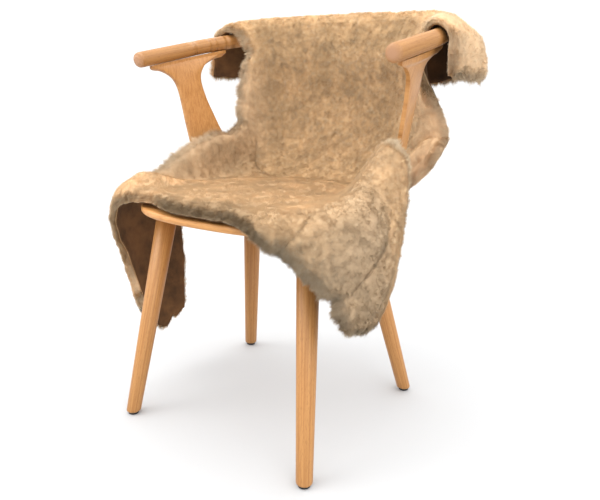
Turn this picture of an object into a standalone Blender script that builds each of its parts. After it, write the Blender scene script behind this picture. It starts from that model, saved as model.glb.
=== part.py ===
"""A rug of two shorn sheepskins, hung over the rail of a wooden chair and across its seat.

The chair stands on z = 0 and faces -Y. Its left arm, seen from the front, is at -X.
Each pelt is a leather sheet with its wool, one uneven slab that follows the folds in the tables below.
"""

import math

import bmesh
import bpy
from mathutils import Matrix, Vector

OBJECT_NAME = "sheepskin_rug_on_chair"

# Clearances
GAP = 0.0003
CLOTH_GAP = 0.0049

# Seat plate
SEAT_HALF_WIDTH = 0.250
SEAT_FRONT = -0.218
SEAT_REAR = 0.232
SEAT_TOP = 0.444
SEAT_THICKNESS = 0.0135
SEAT_EDGE_ROUND = 0.005
SEAT_EXPONENT = 2.7
SEAT_POINTS = 48

# Rail: two straight arms that turn into one bent back
RAIL_RADIUS = 0.0155
RAIL_HALF_WIDTH = 0.283
RAIL_TIP_Y = -0.073
RAIL_TURN_Y = 0.067
RAIL_DEPTH = 0.237
RAIL_EXPONENT = 2.79
RAIL_TIP_Z = 0.717
RAIL_BACK_Z = 0.789
RAIL_TURN_STEPS = 28
RAIL_END_ROUND = 0.006

# Supports: flat panels that lean outwards and turn in more and more towards the seat. Each row is a
# line across the panel from its front edge to its rear edge, and bow is how far it bends outwards.
SUPPORT_THICKNESS = 0.012
SUPPORT_EDGE_SHARE = 0.62
SUPPORT_FOOT = SEAT_TOP + 0.0018
SUPPORT_ROWS = (
    # place, front edge, rear edge, bow
    ("top", (0.2815, -0.037, 0.7078), (0.2655, 0.183, 0.7498), 0.006),
    ("tips", (0.2805, -0.035, 0.7010), (0.2650, 0.181, 0.7410), 0.006),
    ("fillets", (0.2780, -0.012, 0.6985), (0.2650, 0.151, 0.7330), 0.004),
    ("flare", (0.2735, 0.014, 0.6860), (0.2645, 0.109, 0.7130), 0.002),
    ("throat", (0.2685, 0.026, 0.6650), (0.2635, 0.092, 0.6850), 0.000),
    ("neck", (0.2635, 0.0312, 0.6320), (0.2535, 0.097, 0.6420), 0.000),
    ("shank", (0.2568, 0.0343, 0.5900), (0.2380, 0.113, 0.5900), 0.000),
    ("low", (0.2489, 0.0400, 0.5400), (0.2230, 0.128, 0.5400), 0.000),
    ("hidden", (0.2400, 0.0480, 0.4850), (0.2150, 0.129, 0.4850), 0.000),
    ("foot", (0.2360, 0.0540, SUPPORT_FOOT), (0.2120, 0.126, SUPPORT_FOOT), 0.000),
)
SUPPORT_DOWN_STEPS = (1, 1, 2, 2, 2, 2, 2, 1, 1)
SUPPORT_ACROSS_STEPS = 8

# Legs: centre of the foot on the floor, centre of the top under the seat
LEG_FOOT_RADIUS = 0.0150
LEG_TOP_RADIUS = 0.0213
LEG_SIDES = 20
LEG_CHAMFER = 0.0030
LEGS = (
    # name, foot x, foot y, top x, top y
    ("front_left", -0.215, -0.206, -0.166, -0.121),
    ("front_right", 0.215, -0.206, 0.166, -0.121),
    ("rear_left", -0.221, 0.206, -0.136, 0.115),
    ("rear_right", 0.221, 0.206, 0.136, 0.115),
)
GLIDE_RADIUS = 0.0108
GLIDE_HEIGHT = 0.0050

# Pelts
PILE = 0.024
RIM_PILE = 0.70
SEAM_PILE = 0.25
LUMP = 0.13
HEM_WAVE = 0.006
SEAM_GAP = 0.0055
BEDDING_Z = SEAT_TOP + CLOTH_GAP

# Where the upper pelt passes over the rail. Turn is the angle round the bend behind the rail and
# lead how much further round the pelt lies in front of it. Drop is how far the outer flap hangs
# below the rail's centre line and kick how far it stands off the rail.
RAIL_PASS = (
    # station, turn, lead, drop, kick
    ("left_end", -68.0, 11.0, 0.074, 0.036),
    ("left_corner", -53.0, 5.0, 0.084, 0.030),
    ("back_left", -33.0, 0.0, 0.092, 0.018),
    ("back_centre_left", -11.0, 0.0, 0.100, 0.010),
    ("back_centre_right", 9.0, 0.0, 0.106, 0.012),
    ("back_right", 28.0, 0.0, 0.108, 0.020),
    ("right_corner", 46.0, 0.0, 0.094, 0.036),
    ("right_side", 65.0, 0.0, 0.078, 0.046),
    ("right_end", 86.0, -8.0, 0.066, 0.006),
)

# The pass itself: angles round the rail from its outer side, the share of the lead there, and the
# shares of the kick by which the pelt stands off and sinks
OVER_RAIL = (
    # degrees, lead share, kick share, sink share
    (170, 0.0, 0.55, 0.30),
    (130, 0.0, 0.30, 0.15),
    (90, 0.2, 0.05, 0.0),
    (50, 0.55, 0.0, 0.0),
    (5, 1.0, 0.0, 0.0),
)
FLAP_KICK = 0.82
COLLAR = 0.007
COLLAR_DROP = 0.052

# Fall of the upper pelt at the same stations, on its leather side: three points under the rail
CURTAIN = (
    # high, low, heel
    ((-0.232, 0.188, 0.642), (-0.218, 0.150, 0.572), (-0.227, 0.040, 0.556)),
    ((-0.206, 0.224, 0.630), (-0.198, 0.198, 0.528), (-0.207, 0.080, 0.468)),
    ((-0.165, 0.262, 0.625), (-0.158, 0.222, 0.510), (-0.140, 0.140, 0.4520)),
    ((-0.062, 0.278, 0.625), (-0.058, 0.242, 0.505), (-0.050, 0.185, 0.4520)),
    ((0.050, 0.280, 0.625), (0.045, 0.248, 0.505), (0.040, 0.195, 0.4520)),
    ((0.152, 0.270, 0.625), (0.140, 0.236, 0.505), (0.125, 0.182, 0.4525)),
    ((0.214, 0.240, 0.628), (0.208, 0.217, 0.518), (0.190, 0.194, 0.459)),
    ((0.238, 0.216, 0.634), (0.250, 0.212, 0.570), (0.250, 0.182, 0.516)),
    ((0.260, 0.198, 0.644), (0.286, 0.200, 0.580), (0.288, 0.172, 0.545)),
)

# Lower edge of the upper pelt. The first six points are the seam, which the lower pelt shares.
UPPER_FOOT = (
    # x, y, z
    (-0.266, -0.083, 0.481),
    (-0.206, -0.012, 0.4520),
    (-0.128, 0.074, BEDDING_Z),
    (-0.042, 0.130, BEDDING_Z),
    (0.044, 0.143, BEDDING_Z),
    (0.122, 0.126, 0.4487),
    (0.200, 0.150, 0.450),
    (0.238, 0.160, 0.480),
    (0.272, 0.164, 0.514),
)
SEAM_KNOTS = 6
LOWER_SEAM_START = 3

# Folds of the lower pelt, each a line from its rear to its front, from the left hem to the right
# hem, on the leather side. None in the rear column means the seam's next point.
LOWER_FOLDS = (
    # fold, rear, middle, rim, front
    ("left_hem",
     (-0.280, 0.024, 0.150), (-0.288, -0.032, 0.120), (-0.290, -0.072, 0.152), (-0.284, -0.098, 0.225)),
    ("left_fall",
     (-0.288, 0.038, 0.285), (-0.296, -0.035, 0.280), (-0.298, -0.090, 0.290), (-0.284, -0.126, 0.312)),
    ("left_drop",
     (-0.288, 0.020, 0.405), (-0.294, -0.065, 0.402), (-0.291, -0.118, 0.394), (-0.283, -0.154, 0.384)),
    ("left_crest",
     None, (-0.263, -0.114, 0.464), (-0.257, -0.144, 0.453), (-0.247, -0.168, 0.438)),
    ("seat_left",
     None, (-0.190, -0.080, 0.4500), (-0.172, -0.140, 0.4500), (-0.150, -0.182, 0.4525)),
    ("seat_inner_left",
     None, (-0.108, -0.060, BEDDING_Z), (-0.090, -0.150, BEDDING_Z), (-0.070, -0.208, 0.4490)),
    ("seat_centre",
     None, (-0.018, -0.020, BEDDING_Z), (0.000, -0.140, BEDDING_Z), (0.016, -0.215, 0.4490)),
    ("seat_inner_right",
     None, (0.062, -0.010, BEDDING_Z), (0.082, -0.150, BEDDING_Z), (0.094, -0.226, 0.4475)),
    ("seat_right",
     None, (0.138, -0.020, 0.4490), (0.150, -0.192, 0.4505), (0.152, -0.240, 0.430)),
    ("right_slope",
     (0.180, 0.080, 0.494), (0.196, -0.030, 0.4675), (0.207, -0.158, 0.455), (0.197, -0.230, 0.404)),
    ("right_crest",
     (0.258, 0.014, 0.568), (0.244, -0.050, 0.503), (0.254, -0.125, 0.457), (0.224, -0.215, 0.378)),
    ("right_drop",
     (0.274, 0.003, 0.520), (0.271, -0.060, 0.458), (0.280, -0.120, 0.416), (0.244, -0.204, 0.352)),
    ("right_fall",
     (0.270, -0.006, 0.430), (0.277, -0.065, 0.386), (0.284, -0.125, 0.358), (0.260, -0.192, 0.324)),
    ("right_hem",
     (0.268, -0.030, 0.340), (0.274, -0.078, 0.303), (0.277, -0.128, 0.284), (0.264, -0.174, 0.292)),
)

# Steps between neighbouring lines of a pelt's net
UPPER_ACROSS_STEPS = 3
UPPER_DOWN_STEPS = (1, 1, 1, 1, 1, 1, 1, 2, 3, 3, 2)
LOWER_ACROSS_STEPS = 3
LOWER_DOWN_STEPS = (4, 3, 2)

OAK = (0.62, 0.36, 0.16)
WOOL = (0.58, 0.40, 0.23)
GLIDE_BLACK = (0.02, 0.02, 0.02)


def clear_scene():
    """Remove what the scene holds."""
    for item in list(bpy.data.objects):
        bpy.data.objects.remove(item)


def make_material(name, colour, roughness, metallic=0.0):
    """One Principled material."""
    material = bpy.data.materials.new(name)
    material.use_nodes = True
    shader = material.node_tree.nodes["Principled BSDF"]
    shader.inputs["Base Color"].default_value = (*colour, 1.0)
    shader.inputs["Roughness"].default_value = roughness
    shader.inputs["Metallic"].default_value = metallic
    return material


def signed_power(value, power):
    """A power that keeps the sign."""
    return math.copysign(abs(value) ** power, value)


def rail_height(y):
    """Height of the rail's centre line, which rises evenly to the back."""
    share = (y - RAIL_TIP_Y) / (RAIL_TURN_Y + RAIL_DEPTH - RAIL_TIP_Y)
    return RAIL_TIP_Z + share * (RAIL_BACK_Z - RAIL_TIP_Z)


def rail_point(turn):
    """Centre of the rail at an angle round its bend, from -90 at the left to 90 at the right."""
    angle = math.radians(turn)
    x = RAIL_HALF_WIDTH * signed_power(math.sin(angle), 2 / RAIL_EXPONENT)
    y = RAIL_TURN_Y + RAIL_DEPTH * abs(math.cos(angle)) ** (2 / RAIL_EXPONENT)
    return Vector((x, y, rail_height(y)))


def rail_outward(turn):
    """Level direction away from the chair's middle at an angle round the rail."""
    step = 0.5
    along = rail_point(min(turn + step, 89.9)) - rail_point(turn - step)
    return Vector((-along.y, along.x, 0)).normalized()


def through(knots, position):
    """A point on the smooth curve through some knots; position counts knots."""
    index = min(int(position), len(knots) - 2)
    t = position - index
    before = knots[index - 1] if index > 0 else 2 * knots[0] - knots[1]
    after = knots[index + 2] if index + 2 < len(knots) else 2 * knots[-1] - knots[-2]
    start, end = knots[index], knots[index + 1]
    return 0.5 * (
        2 * start
        + (end - before) * t
        + (2 * before - 5 * start + 4 * end - after) * t * t
        + (3 * start - before - 3 * end + after) * t ** 3
    )


def on_net(net, across, down):
    """A point on the surface through a net of lines; the line number comes first."""
    return through([through(line, down) for line in net], across)


def hem_wave(across):
    """Uneven cut of a pelt's free edge."""
    return HEM_WAVE * (0.6 * math.sin(2.9 * across) + 0.4 * math.sin(7.3 * across + 1.0))


def upper_line(index):
    """One line of the upper pelt: up the outer flap, over the rail, down to the foot."""
    _, turn, lead, drop, kick = RAIL_PASS[index]
    centre = rail_point(turn)
    outward = rail_outward(turn)
    reach = RAIL_RADIUS + CLOTH_GAP
    hem = centre + outward * (reach + kick) - Vector((0, 0, drop + hem_wave(index)))
    flap = centre + outward * (reach + FLAP_KICK * kick) - Vector((0, 0, 0.48 * drop))
    line = [hem, flap]
    for degrees, lead_share, kick_share, sink_share in OVER_RAIL:
        angle = math.radians(degrees)
        centre = rail_point(turn + lead * lead_share)
        outward = rail_outward(turn + lead * lead_share)
        level = -reach * math.cos(angle) + kick * kick_share
        height = reach * math.sin(angle) - kick * sink_share
        line.append(centre + outward * level + Vector((0, 0, height)))
    line.append(centre - outward * (reach + COLLAR) - Vector((0, 0, COLLAR_DROP)))
    line.extend(Vector(point) for point in CURTAIN[index])
    line.append(Vector(UPPER_FOOT[index]))
    return line


def lower_line(index):
    """One fold line of the lower pelt, from its rear to its front."""
    _, rear, middle, rim, front = LOWER_FOLDS[index]
    if rear is None:
        rear = UPPER_FOOT[index - LOWER_SEAM_START]
    return [Vector(rear), Vector(middle), Vector(rim), Vector(front)]


def seam_point(position):
    """A point on the seam; position counts its knots."""
    return through([Vector(knot) for knot in UPPER_FOOT[:SEAM_KNOTS]], position)


def on_upper(net, across, down):
    """A point of the upper pelt, with its foot drawn on to the seam."""
    point = on_net(net, across, down)
    last = len(net[0]) - 1
    near = max(0.0, down - last + 1) ** 2
    if across < SEAM_KNOTS - 1 and near:
        point += (seam_point(across) - on_net(net, across, last)) * near
    return point


def on_lower(net, across, down):
    """A point of the lower pelt, with its rear drawn on to the seam but for the gap."""
    point = on_net(net, across, down)
    position = across - LOWER_SEAM_START
    near = max(0.0, 1 - down) ** 2
    if 0 <= position <= SEAM_KNOTS - 1 and near:
        rear = on_net(net, across, 0)
        forward = (on_net(net, across, 0.3) - rear).normalized()
        point += (seam_point(position) + forward * SEAM_GAP - rear) * near
    return point


def net_positions(steps):
    """Positions along a line, with a number of steps between one knot and the next."""
    positions = [0.0]
    for knot, count in enumerate(steps):
        positions.extend(knot + (step + 1) / count for step in range(count))
    return positions


def pile_share(across, down, rim, seam):
    """Thickness of the wool at a place, as a share of the full pile.

    Rim and seam count steps from the nearest free edge and from the seam, up to 1 for two steps.
    """
    lumps = math.sin(23 * across + 3.1 * math.sin(9 * down)) * math.sin(17 * down + 2 * across)
    even = 1 - LUMP + LUMP * lumps
    return even * min(RIM_PILE + (1 - RIM_PILE) * rim, SEAM_PILE + (1 - SEAM_PILE) * seam)


def make_pelt(name, place, net, across_steps, down_steps, seam_row, material, collection):
    """A slab over a net of lines: a grid laid on the leather side, thickened by the wool."""
    across_at = net_positions([across_steps] * (len(net) - 1))
    down_at = net_positions(down_steps)
    columns = len(across_at) - 1
    rows = len(down_at) - 1
    bm = bmesh.new()
    bmesh.ops.create_grid(bm, x_segments=columns, y_segments=rows, size=0.5)
    weight = bm.verts.layers.deform.verify()
    for vert in bm.verts:
        column = round((vert.co.x + 0.5) * columns)
        row = round((0.5 - vert.co.y) * rows)
        seam_distance = rows - row if seam_row else row
        edge_distance = min(column, columns - column, row if seam_row else rows - row)
        vert.co = place(net, across_at[column], down_at[row])
        vert[weight][0] = pile_share(
            column / columns, row / rows, min(1, edge_distance / 2), min(1, seam_distance / 2)
        )
    mesh = bpy.data.meshes.new(name)
    bm.to_mesh(mesh)
    bm.free()
    mesh.materials.append(material)
    pelt = bpy.data.objects.new(name, mesh)
    collection.objects.link(pelt)
    pelt.vertex_groups.new(name="pile")
    wool = pelt.modifiers.new("wool", "SOLIDIFY")
    wool.thickness = PILE
    wool.offset = 1.0
    wool.vertex_group = "pile"
    return pelt


def make_mesh_object(name, bm, material, collection):
    """An object from a bmesh, which is freed."""
    mesh = bpy.data.meshes.new(name)
    bm.to_mesh(mesh)
    bm.free()
    mesh.materials.append(material)
    item = bpy.data.objects.new(name, mesh)
    collection.objects.link(item)
    return item


def make_curve(name, material, collection):
    """An empty curve object and its data."""
    curve = bpy.data.curves.new(name, "CURVE")
    curve.materials.append(material)
    item = bpy.data.objects.new(name, curve)
    collection.objects.link(item)
    return item, curve


def make_seat(material, collection):
    """The seat plate: a flat outline with rounded edges."""
    seat, curve = make_curve("seat", material, collection)
    curve.dimensions = "2D"
    curve.fill_mode = "BOTH"
    curve.bevel_depth = SEAT_EDGE_ROUND
    curve.bevel_resolution = 1
    curve.extrude = SEAT_THICKNESS / 2 - SEAT_EDGE_ROUND
    spline = curve.splines.new("POLY")
    spline.points.add(SEAT_POINTS - 1)
    spline.use_cyclic_u = True
    middle_y = (SEAT_FRONT + SEAT_REAR) / 2
    half_depth = (SEAT_REAR - SEAT_FRONT) / 2
    for number, point in enumerate(spline.points):
        angle = 2 * math.pi * number / SEAT_POINTS
        x = (SEAT_HALF_WIDTH - SEAT_EDGE_ROUND) * signed_power(math.cos(angle), 2 / SEAT_EXPONENT)
        y = (half_depth - SEAT_EDGE_ROUND) * signed_power(math.sin(angle), 2 / SEAT_EXPONENT)
        point.co = (x, middle_y + y, 0, 1)
    seat.location = (0, 0, SEAT_TOP - SEAT_THICKNESS / 2)
    return seat


def make_rail(material, collection):
    """The bent rail: a round bar along the arms and the back, with rounded ends."""
    rail, curve = make_curve("rail", material, collection)
    curve.dimensions = "3D"
    curve.bevel_depth = RAIL_RADIUS
    curve.bevel_resolution = 4
    curve.use_fill_caps = True
    bend = [rail_point(-90 + 180 * step / RAIL_TURN_STEPS) for step in range(RAIL_TURN_STEPS + 1)]
    path = []
    for side, order in ((-1, 1), (1, -1)):
        x = side * RAIL_HALF_WIDTH
        arm = [
            (Vector((x, RAIL_TIP_Y, rail_height(RAIL_TIP_Y))), 0.62),
            (Vector((x, RAIL_TIP_Y + 0.2 * RAIL_END_ROUND, rail_height(RAIL_TIP_Y))), 0.80),
            (Vector((x, RAIL_TIP_Y + RAIL_END_ROUND, rail_height(RAIL_TIP_Y + RAIL_END_ROUND))), 1.0),
            (Vector((x, 0.0, rail_height(0.0))), 1.0),
        ]
        path.extend(arm[::order])
        if side < 0:
            path.extend((point, 1.0) for point in bend)
    spline = curve.splines.new("POLY")
    spline.points.add(len(path) - 1)
    for point, (place, radius) in zip(spline.points, path):
        point.co = (*place, 1)
        point.radius = radius
    return rail


def support_place(side, across, down):
    """A place in the middle of a support's thickness; across runs from 0 at the front to 1."""
    front = through([Vector(row[1]) for row in SUPPORT_ROWS], down)
    rear = through([Vector(row[2]) for row in SUPPORT_ROWS], down)
    bow = through([row[3] for row in SUPPORT_ROWS], down)
    place = front.lerp(rear, across)
    place.x = side * (place.x + bow * 4 * across * (1 - across))
    return place


def make_support(side, material, collection):
    """A support: a panel laid through its rows and thickened, thinner towards its two edges."""
    name = "support_left" if side < 0 else "support_right"
    down_at = net_positions(SUPPORT_DOWN_STEPS)
    rows = len(down_at) - 1
    bm = bmesh.new()
    bmesh.ops.create_grid(bm, x_segments=SUPPORT_ACROSS_STEPS, y_segments=rows, size=0.5)
    weight = bm.verts.layers.deform.verify()
    for vert in bm.verts:
        across = vert.co.x + 0.5
        row = round((0.5 - vert.co.y) * rows)
        vert[weight][0] = 1 - (1 - SUPPORT_EDGE_SHARE) * (2 * across - 1) ** 4
        vert.co = support_place(side, across, down_at[row])
    support = make_mesh_object(name, bm, material, collection)
    support.vertex_groups.new(name="thickness")
    panel = support.modifiers.new("panel", "SOLIDIFY")
    panel.thickness = SUPPORT_THICKNESS
    panel.offset = 0.0
    panel.vertex_group = "thickness"
    return support


def make_leg(name, foot_x, foot_y, top_x, top_y, material, collection):
    """A round tapered leg, cut level at the foot and under the seat."""
    foot_z = GLIDE_HEIGHT + GAP
    top_z = SEAT_TOP - SEAT_THICKNESS - GAP
    height = top_z - foot_z
    bm = bmesh.new()
    bmesh.ops.create_cone(
        bm,
        cap_ends=True,
        segments=LEG_SIDES,
        radius1=LEG_FOOT_RADIUS,
        radius2=LEG_TOP_RADIUS,
        depth=height,
    )
    foot_edges = [e for e in bm.edges if all(v.co.z < 0 for v in e.verts)]
    bmesh.ops.bevel(bm, geom=foot_edges, offset=LEG_CHAMFER, segments=1, affect="EDGES")
    for vert in bm.verts:
        share = (vert.co.z + height / 2) / height
        vert.co.x += foot_x + share * (top_x - foot_x)
        vert.co.y += foot_y + share * (top_y - foot_y)
        vert.co.z += foot_z + height / 2
    return make_mesh_object("leg_" + name, bm, material, collection)


def make_glide(name, foot_x, foot_y, material, collection):
    """The round glide under a foot."""
    bm = bmesh.new()
    bmesh.ops.create_cone(
        bm,
        cap_ends=True,
        segments=16,
        radius1=GLIDE_RADIUS,
        radius2=GLIDE_RADIUS,
        depth=GLIDE_HEIGHT,
        matrix=Matrix.Translation((foot_x, foot_y, GLIDE_HEIGHT / 2)),
    )
    return make_mesh_object("glide_" + name, bm, material, collection)


def stand_on_origin(parts):
    """Hang the parts on an empty and move it, so that the middle of their box is over the origin."""
    bpy.context.view_layer.update()
    graph = bpy.context.evaluated_depsgraph_get()
    places = []
    for part in parts:
        solid = part.evaluated_get(graph)
        places.extend(solid.matrix_world @ vert.co for vert in solid.to_mesh().vertices)
        solid.to_mesh_clear()
    middle_x = (min(p.x for p in places) + max(p.x for p in places)) / 2
    middle_y = (min(p.y for p in places) + max(p.y for p in places)) / 2
    base = bpy.data.objects.new("base", None)
    parts[0].users_collection[0].objects.link(base)
    for part in parts:
        part.parent = base
    base.location = (-middle_x, -middle_y, 0)
    bpy.context.view_layer.update()


def main():
    clear_scene()
    collection = bpy.data.collections.new(OBJECT_NAME)
    bpy.context.scene.collection.children.link(collection)
    oak = make_material("oiled_oak", OAK, 0.45)
    wool = make_material("shorn_wool", WOOL, 0.95)
    black = make_material("black_glide", GLIDE_BLACK, 0.5)

    upper_net = [upper_line(index) for index in range(len(RAIL_PASS))]
    lower_net = [lower_line(index) for index in range(len(LOWER_FOLDS))]
    parts = [
        make_seat(oak, collection),
        make_rail(oak, collection),
        make_support(-1, oak, collection),
        make_support(1, oak, collection),
        make_pelt(
            "hide_upper", on_upper, upper_net, UPPER_ACROSS_STEPS, UPPER_DOWN_STEPS, True, wool, collection
        ),
        make_pelt(
            "hide_lower", on_lower, lower_net, LOWER_ACROSS_STEPS, LOWER_DOWN_STEPS, False, wool, collection
        ),
    ]
    for name, foot_x, foot_y, top_x, top_y in LEGS:
        parts.append(make_leg(name, foot_x, foot_y, top_x, top_y, oak, collection))
        parts.append(make_glide(name, foot_x, foot_y, black, collection))
    stand_on_origin(parts)


main()
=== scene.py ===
"""The looks of a double sheepskin rug that hangs over the rail of a wooden chair and across its seat.

Run as a script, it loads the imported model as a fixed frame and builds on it: two suede pelts with
their shorn wool, the oak chair that carries them, its glides, and a plain stage.
Places are worked out round the chair's middle, in metres, and moved to the frame at the end.
"""

import math
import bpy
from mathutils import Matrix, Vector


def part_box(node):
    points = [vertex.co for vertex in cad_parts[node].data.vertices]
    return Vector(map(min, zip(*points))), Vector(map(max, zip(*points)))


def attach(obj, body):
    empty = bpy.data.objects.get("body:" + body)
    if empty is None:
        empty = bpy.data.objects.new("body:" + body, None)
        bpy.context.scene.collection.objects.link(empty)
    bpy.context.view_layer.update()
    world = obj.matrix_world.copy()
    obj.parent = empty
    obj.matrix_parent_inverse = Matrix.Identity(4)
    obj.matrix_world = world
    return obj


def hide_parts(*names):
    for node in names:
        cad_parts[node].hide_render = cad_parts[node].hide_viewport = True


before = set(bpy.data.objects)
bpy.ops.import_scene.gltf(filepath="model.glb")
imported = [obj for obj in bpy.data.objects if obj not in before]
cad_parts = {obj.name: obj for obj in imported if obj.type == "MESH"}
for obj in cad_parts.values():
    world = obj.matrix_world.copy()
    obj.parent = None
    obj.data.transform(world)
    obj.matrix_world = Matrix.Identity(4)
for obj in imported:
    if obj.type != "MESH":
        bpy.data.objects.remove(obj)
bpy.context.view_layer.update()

from types import SimpleNamespace

import bmesh
import bpy
import numpy as np
from bpy.props import FloatProperty, FloatVectorProperty, IntProperty, PointerProperty
from mathutils import Matrix, Vector, noise

bl_info = {
    "name": "Sheepskin Rug on a Chair",
    "version": (1, 0, 0),
    "blender": (4, 5, 0),
    "location": "View3D > Sidebar > Sheepskin",
    "description": "Builds two sewn sheepskins, draped over an oak chair",
    "category": "Add Mesh",
}

ROOT = "root"

# Seat plate
SEAT_HALF_WIDTH = 0.250
SEAT_FRONT = -0.218
SEAT_REAR = 0.232
SEAT_TOP = 0.444
SEAT_THICKNESS = 0.0135
SEAT_EXPONENT = 2.7
SEAT_POINTS = 160

# Rail: two straight arms that turn into one bent back
RAIL_RADIUS = 0.0155
RAIL_HALF_WIDTH = 0.283
RAIL_TIP_Y = -0.073
RAIL_TURN_Y = 0.067
RAIL_DEPTH = 0.237
RAIL_EXPONENT = 2.79
RAIL_TIP_Z = 0.717
RAIL_BACK_Z = 0.789
RAIL_SIDES = 40
RAIL_TURN_STEPS = 84
RAIL_END_ROUND = 0.010
RAIL_END_STEPS = 5
RAIL_ARM_STEP = 0.020
RAIL_ARM_STEPS = 6

# Supports: flat panels that lean outwards and turn in more and more towards the seat. Each row is a
# line across the panel from its front edge to its rear edge, and bow is how far it bends outwards.
SUPPORT_THICKNESS = 0.012
SUPPORT_EDGE_SHARE = 0.62
SUPPORT_FOOT = 0.4458
SUPPORT_ROWS = (
    # place, front edge, rear edge, bow
    ("top", (0.2815, -0.037, 0.7078), (0.2655, 0.183, 0.7498), 0.006),
    ("tips", (0.2805, -0.035, 0.7010), (0.2650, 0.181, 0.7410), 0.006),
    ("fillets", (0.2780, -0.012, 0.6985), (0.2650, 0.151, 0.7330), 0.004),
    ("flare", (0.2735, 0.014, 0.6860), (0.2645, 0.109, 0.7130), 0.002),
    ("throat", (0.2685, 0.026, 0.6650), (0.2635, 0.092, 0.6850), 0.000),
    ("neck", (0.2635, 0.0312, 0.6320), (0.2535, 0.097, 0.6420), 0.000),
    ("shank", (0.2568, 0.0343, 0.5900), (0.2380, 0.113, 0.5900), 0.000),
    ("low", (0.2489, 0.0400, 0.5400), (0.2230, 0.128, 0.5400), 0.000),
    ("hidden", (0.2400, 0.0480, 0.4850), (0.2150, 0.129, 0.4850), 0.000),
    ("foot", (0.2360, 0.0540, SUPPORT_FOOT), (0.2120, 0.126, SUPPORT_FOOT), 0.000),
)
SUPPORT_DOWN_STEPS = (3, 5, 6, 6, 8, 8, 8, 6, 4)
SUPPORT_ACROSS_STEPS = 16

# Legs: centre of the foot, centre of the top under the seat
LEG_FOOT_RADIUS = 0.0150
LEG_TOP_RADIUS = 0.0213
LEG_FOOT_Z = 0.0053
LEG_TOP_Z = 0.4302
LEG_SIDES = 48
LEG_ROUND = 0.0038
LEGS = (
    # name, foot x, foot y, top x, top y
    ("front_left", -0.215, -0.206, -0.166, -0.121),
    ("front_right", 0.215, -0.206, 0.166, -0.121),
    ("rear_left", -0.221, 0.206, -0.136, 0.115),
    ("rear_right", 0.221, 0.206, 0.136, 0.115),
)
GLIDE_RADIUS = 0.0108
GLIDE_HEIGHT = 0.0050
GLIDE_ROUND = 0.0012
GLIDE_SIDES = 40

# Pelts
CLOTH_GAP = 0.0049
BEDDING_Z = SEAT_TOP + CLOTH_GAP
SEAM_GAP = 0.0012
HEM_WAVE = 0.006
COLLAR = 0.007
COLLAR_DROP = 0.052
FLAP_KICK = 0.82
FLAP_DROP = 0.48

# Where the upper pelt passes over the rail. Turn is the angle round the bend behind the rail and
# lead how much further round the pelt lies in front of it. Drop is how far the outer flap hangs
# below the rail's centre line and kick how far it stands off the rail.
RAIL_PASS = (
    # station, turn, lead, drop, kick
    ("left_end", -68.0, 11.0, 0.074, 0.036),
    ("left_corner", -53.0, 5.0, 0.084, 0.030),
    ("back_left", -33.0, 0.0, 0.092, 0.018),
    ("back_centre_left", -11.0, 0.0, 0.100, 0.010),
    ("back_centre_right", 9.0, 0.0, 0.106, 0.012),
    ("back_right", 28.0, 0.0, 0.108, 0.020),
    ("right_corner", 46.0, 0.0, 0.094, 0.036),
    ("right_side", 65.0, 0.0, 0.078, 0.046),
    ("right_end", 86.0, -8.0, 0.066, 0.006),
)

# The pass itself: angles round the rail from its outer side, the share of the lead there, and the
# shares of the kick by which the pelt stands off and sinks
OVER_RAIL = (
    # degrees, lead share, kick share, sink share
    (170, 0.0, 0.55, 0.30),
    (130, 0.0, 0.30, 0.15),
    (90, 0.2, 0.05, 0.0),
    (50, 0.55, 0.0, 0.0),
    (5, 1.0, 0.0, 0.0),
)

# Fall of the upper pelt at the same stations, on its leather side: three points under the rail
CURTAIN = (
    # high, low, heel
    ((-0.232, 0.188, 0.642), (-0.218, 0.150, 0.572), (-0.227, 0.040, 0.556)),
    ((-0.206, 0.224, 0.630), (-0.198, 0.198, 0.528), (-0.207, 0.080, 0.468)),
    ((-0.165, 0.262, 0.625), (-0.158, 0.222, 0.510), (-0.140, 0.140, 0.4520)),
    ((-0.062, 0.278, 0.625), (-0.058, 0.242, 0.505), (-0.050, 0.185, 0.4520)),
    ((0.050, 0.280, 0.625), (0.045, 0.248, 0.505), (0.040, 0.195, 0.4520)),
    ((0.152, 0.270, 0.625), (0.140, 0.236, 0.505), (0.125, 0.182, 0.4525)),
    ((0.214, 0.240, 0.628), (0.208, 0.217, 0.518), (0.190, 0.194, 0.459)),
    ((0.238, 0.216, 0.634), (0.250, 0.212, 0.570), (0.250, 0.182, 0.516)),
    ((0.260, 0.198, 0.644), (0.286, 0.200, 0.580), (0.288, 0.172, 0.545)),
)

# Lower edge of the upper pelt. The first six points are the seam, which the lower pelt shares.
UPPER_FOOT = (
    # x, y, z
    (-0.266, -0.083, 0.481),
    (-0.206, -0.012, 0.4520),
    (-0.128, 0.074, BEDDING_Z),
    (-0.042, 0.130, BEDDING_Z),
    (0.044, 0.143, BEDDING_Z),
    (0.122, 0.126, 0.4487),
    (0.200, 0.150, 0.450),
    (0.238, 0.160, 0.480),
    (0.272, 0.164, 0.514),
)
SEAM_KNOTS = 6
LOWER_SEAM_START = 3

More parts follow.
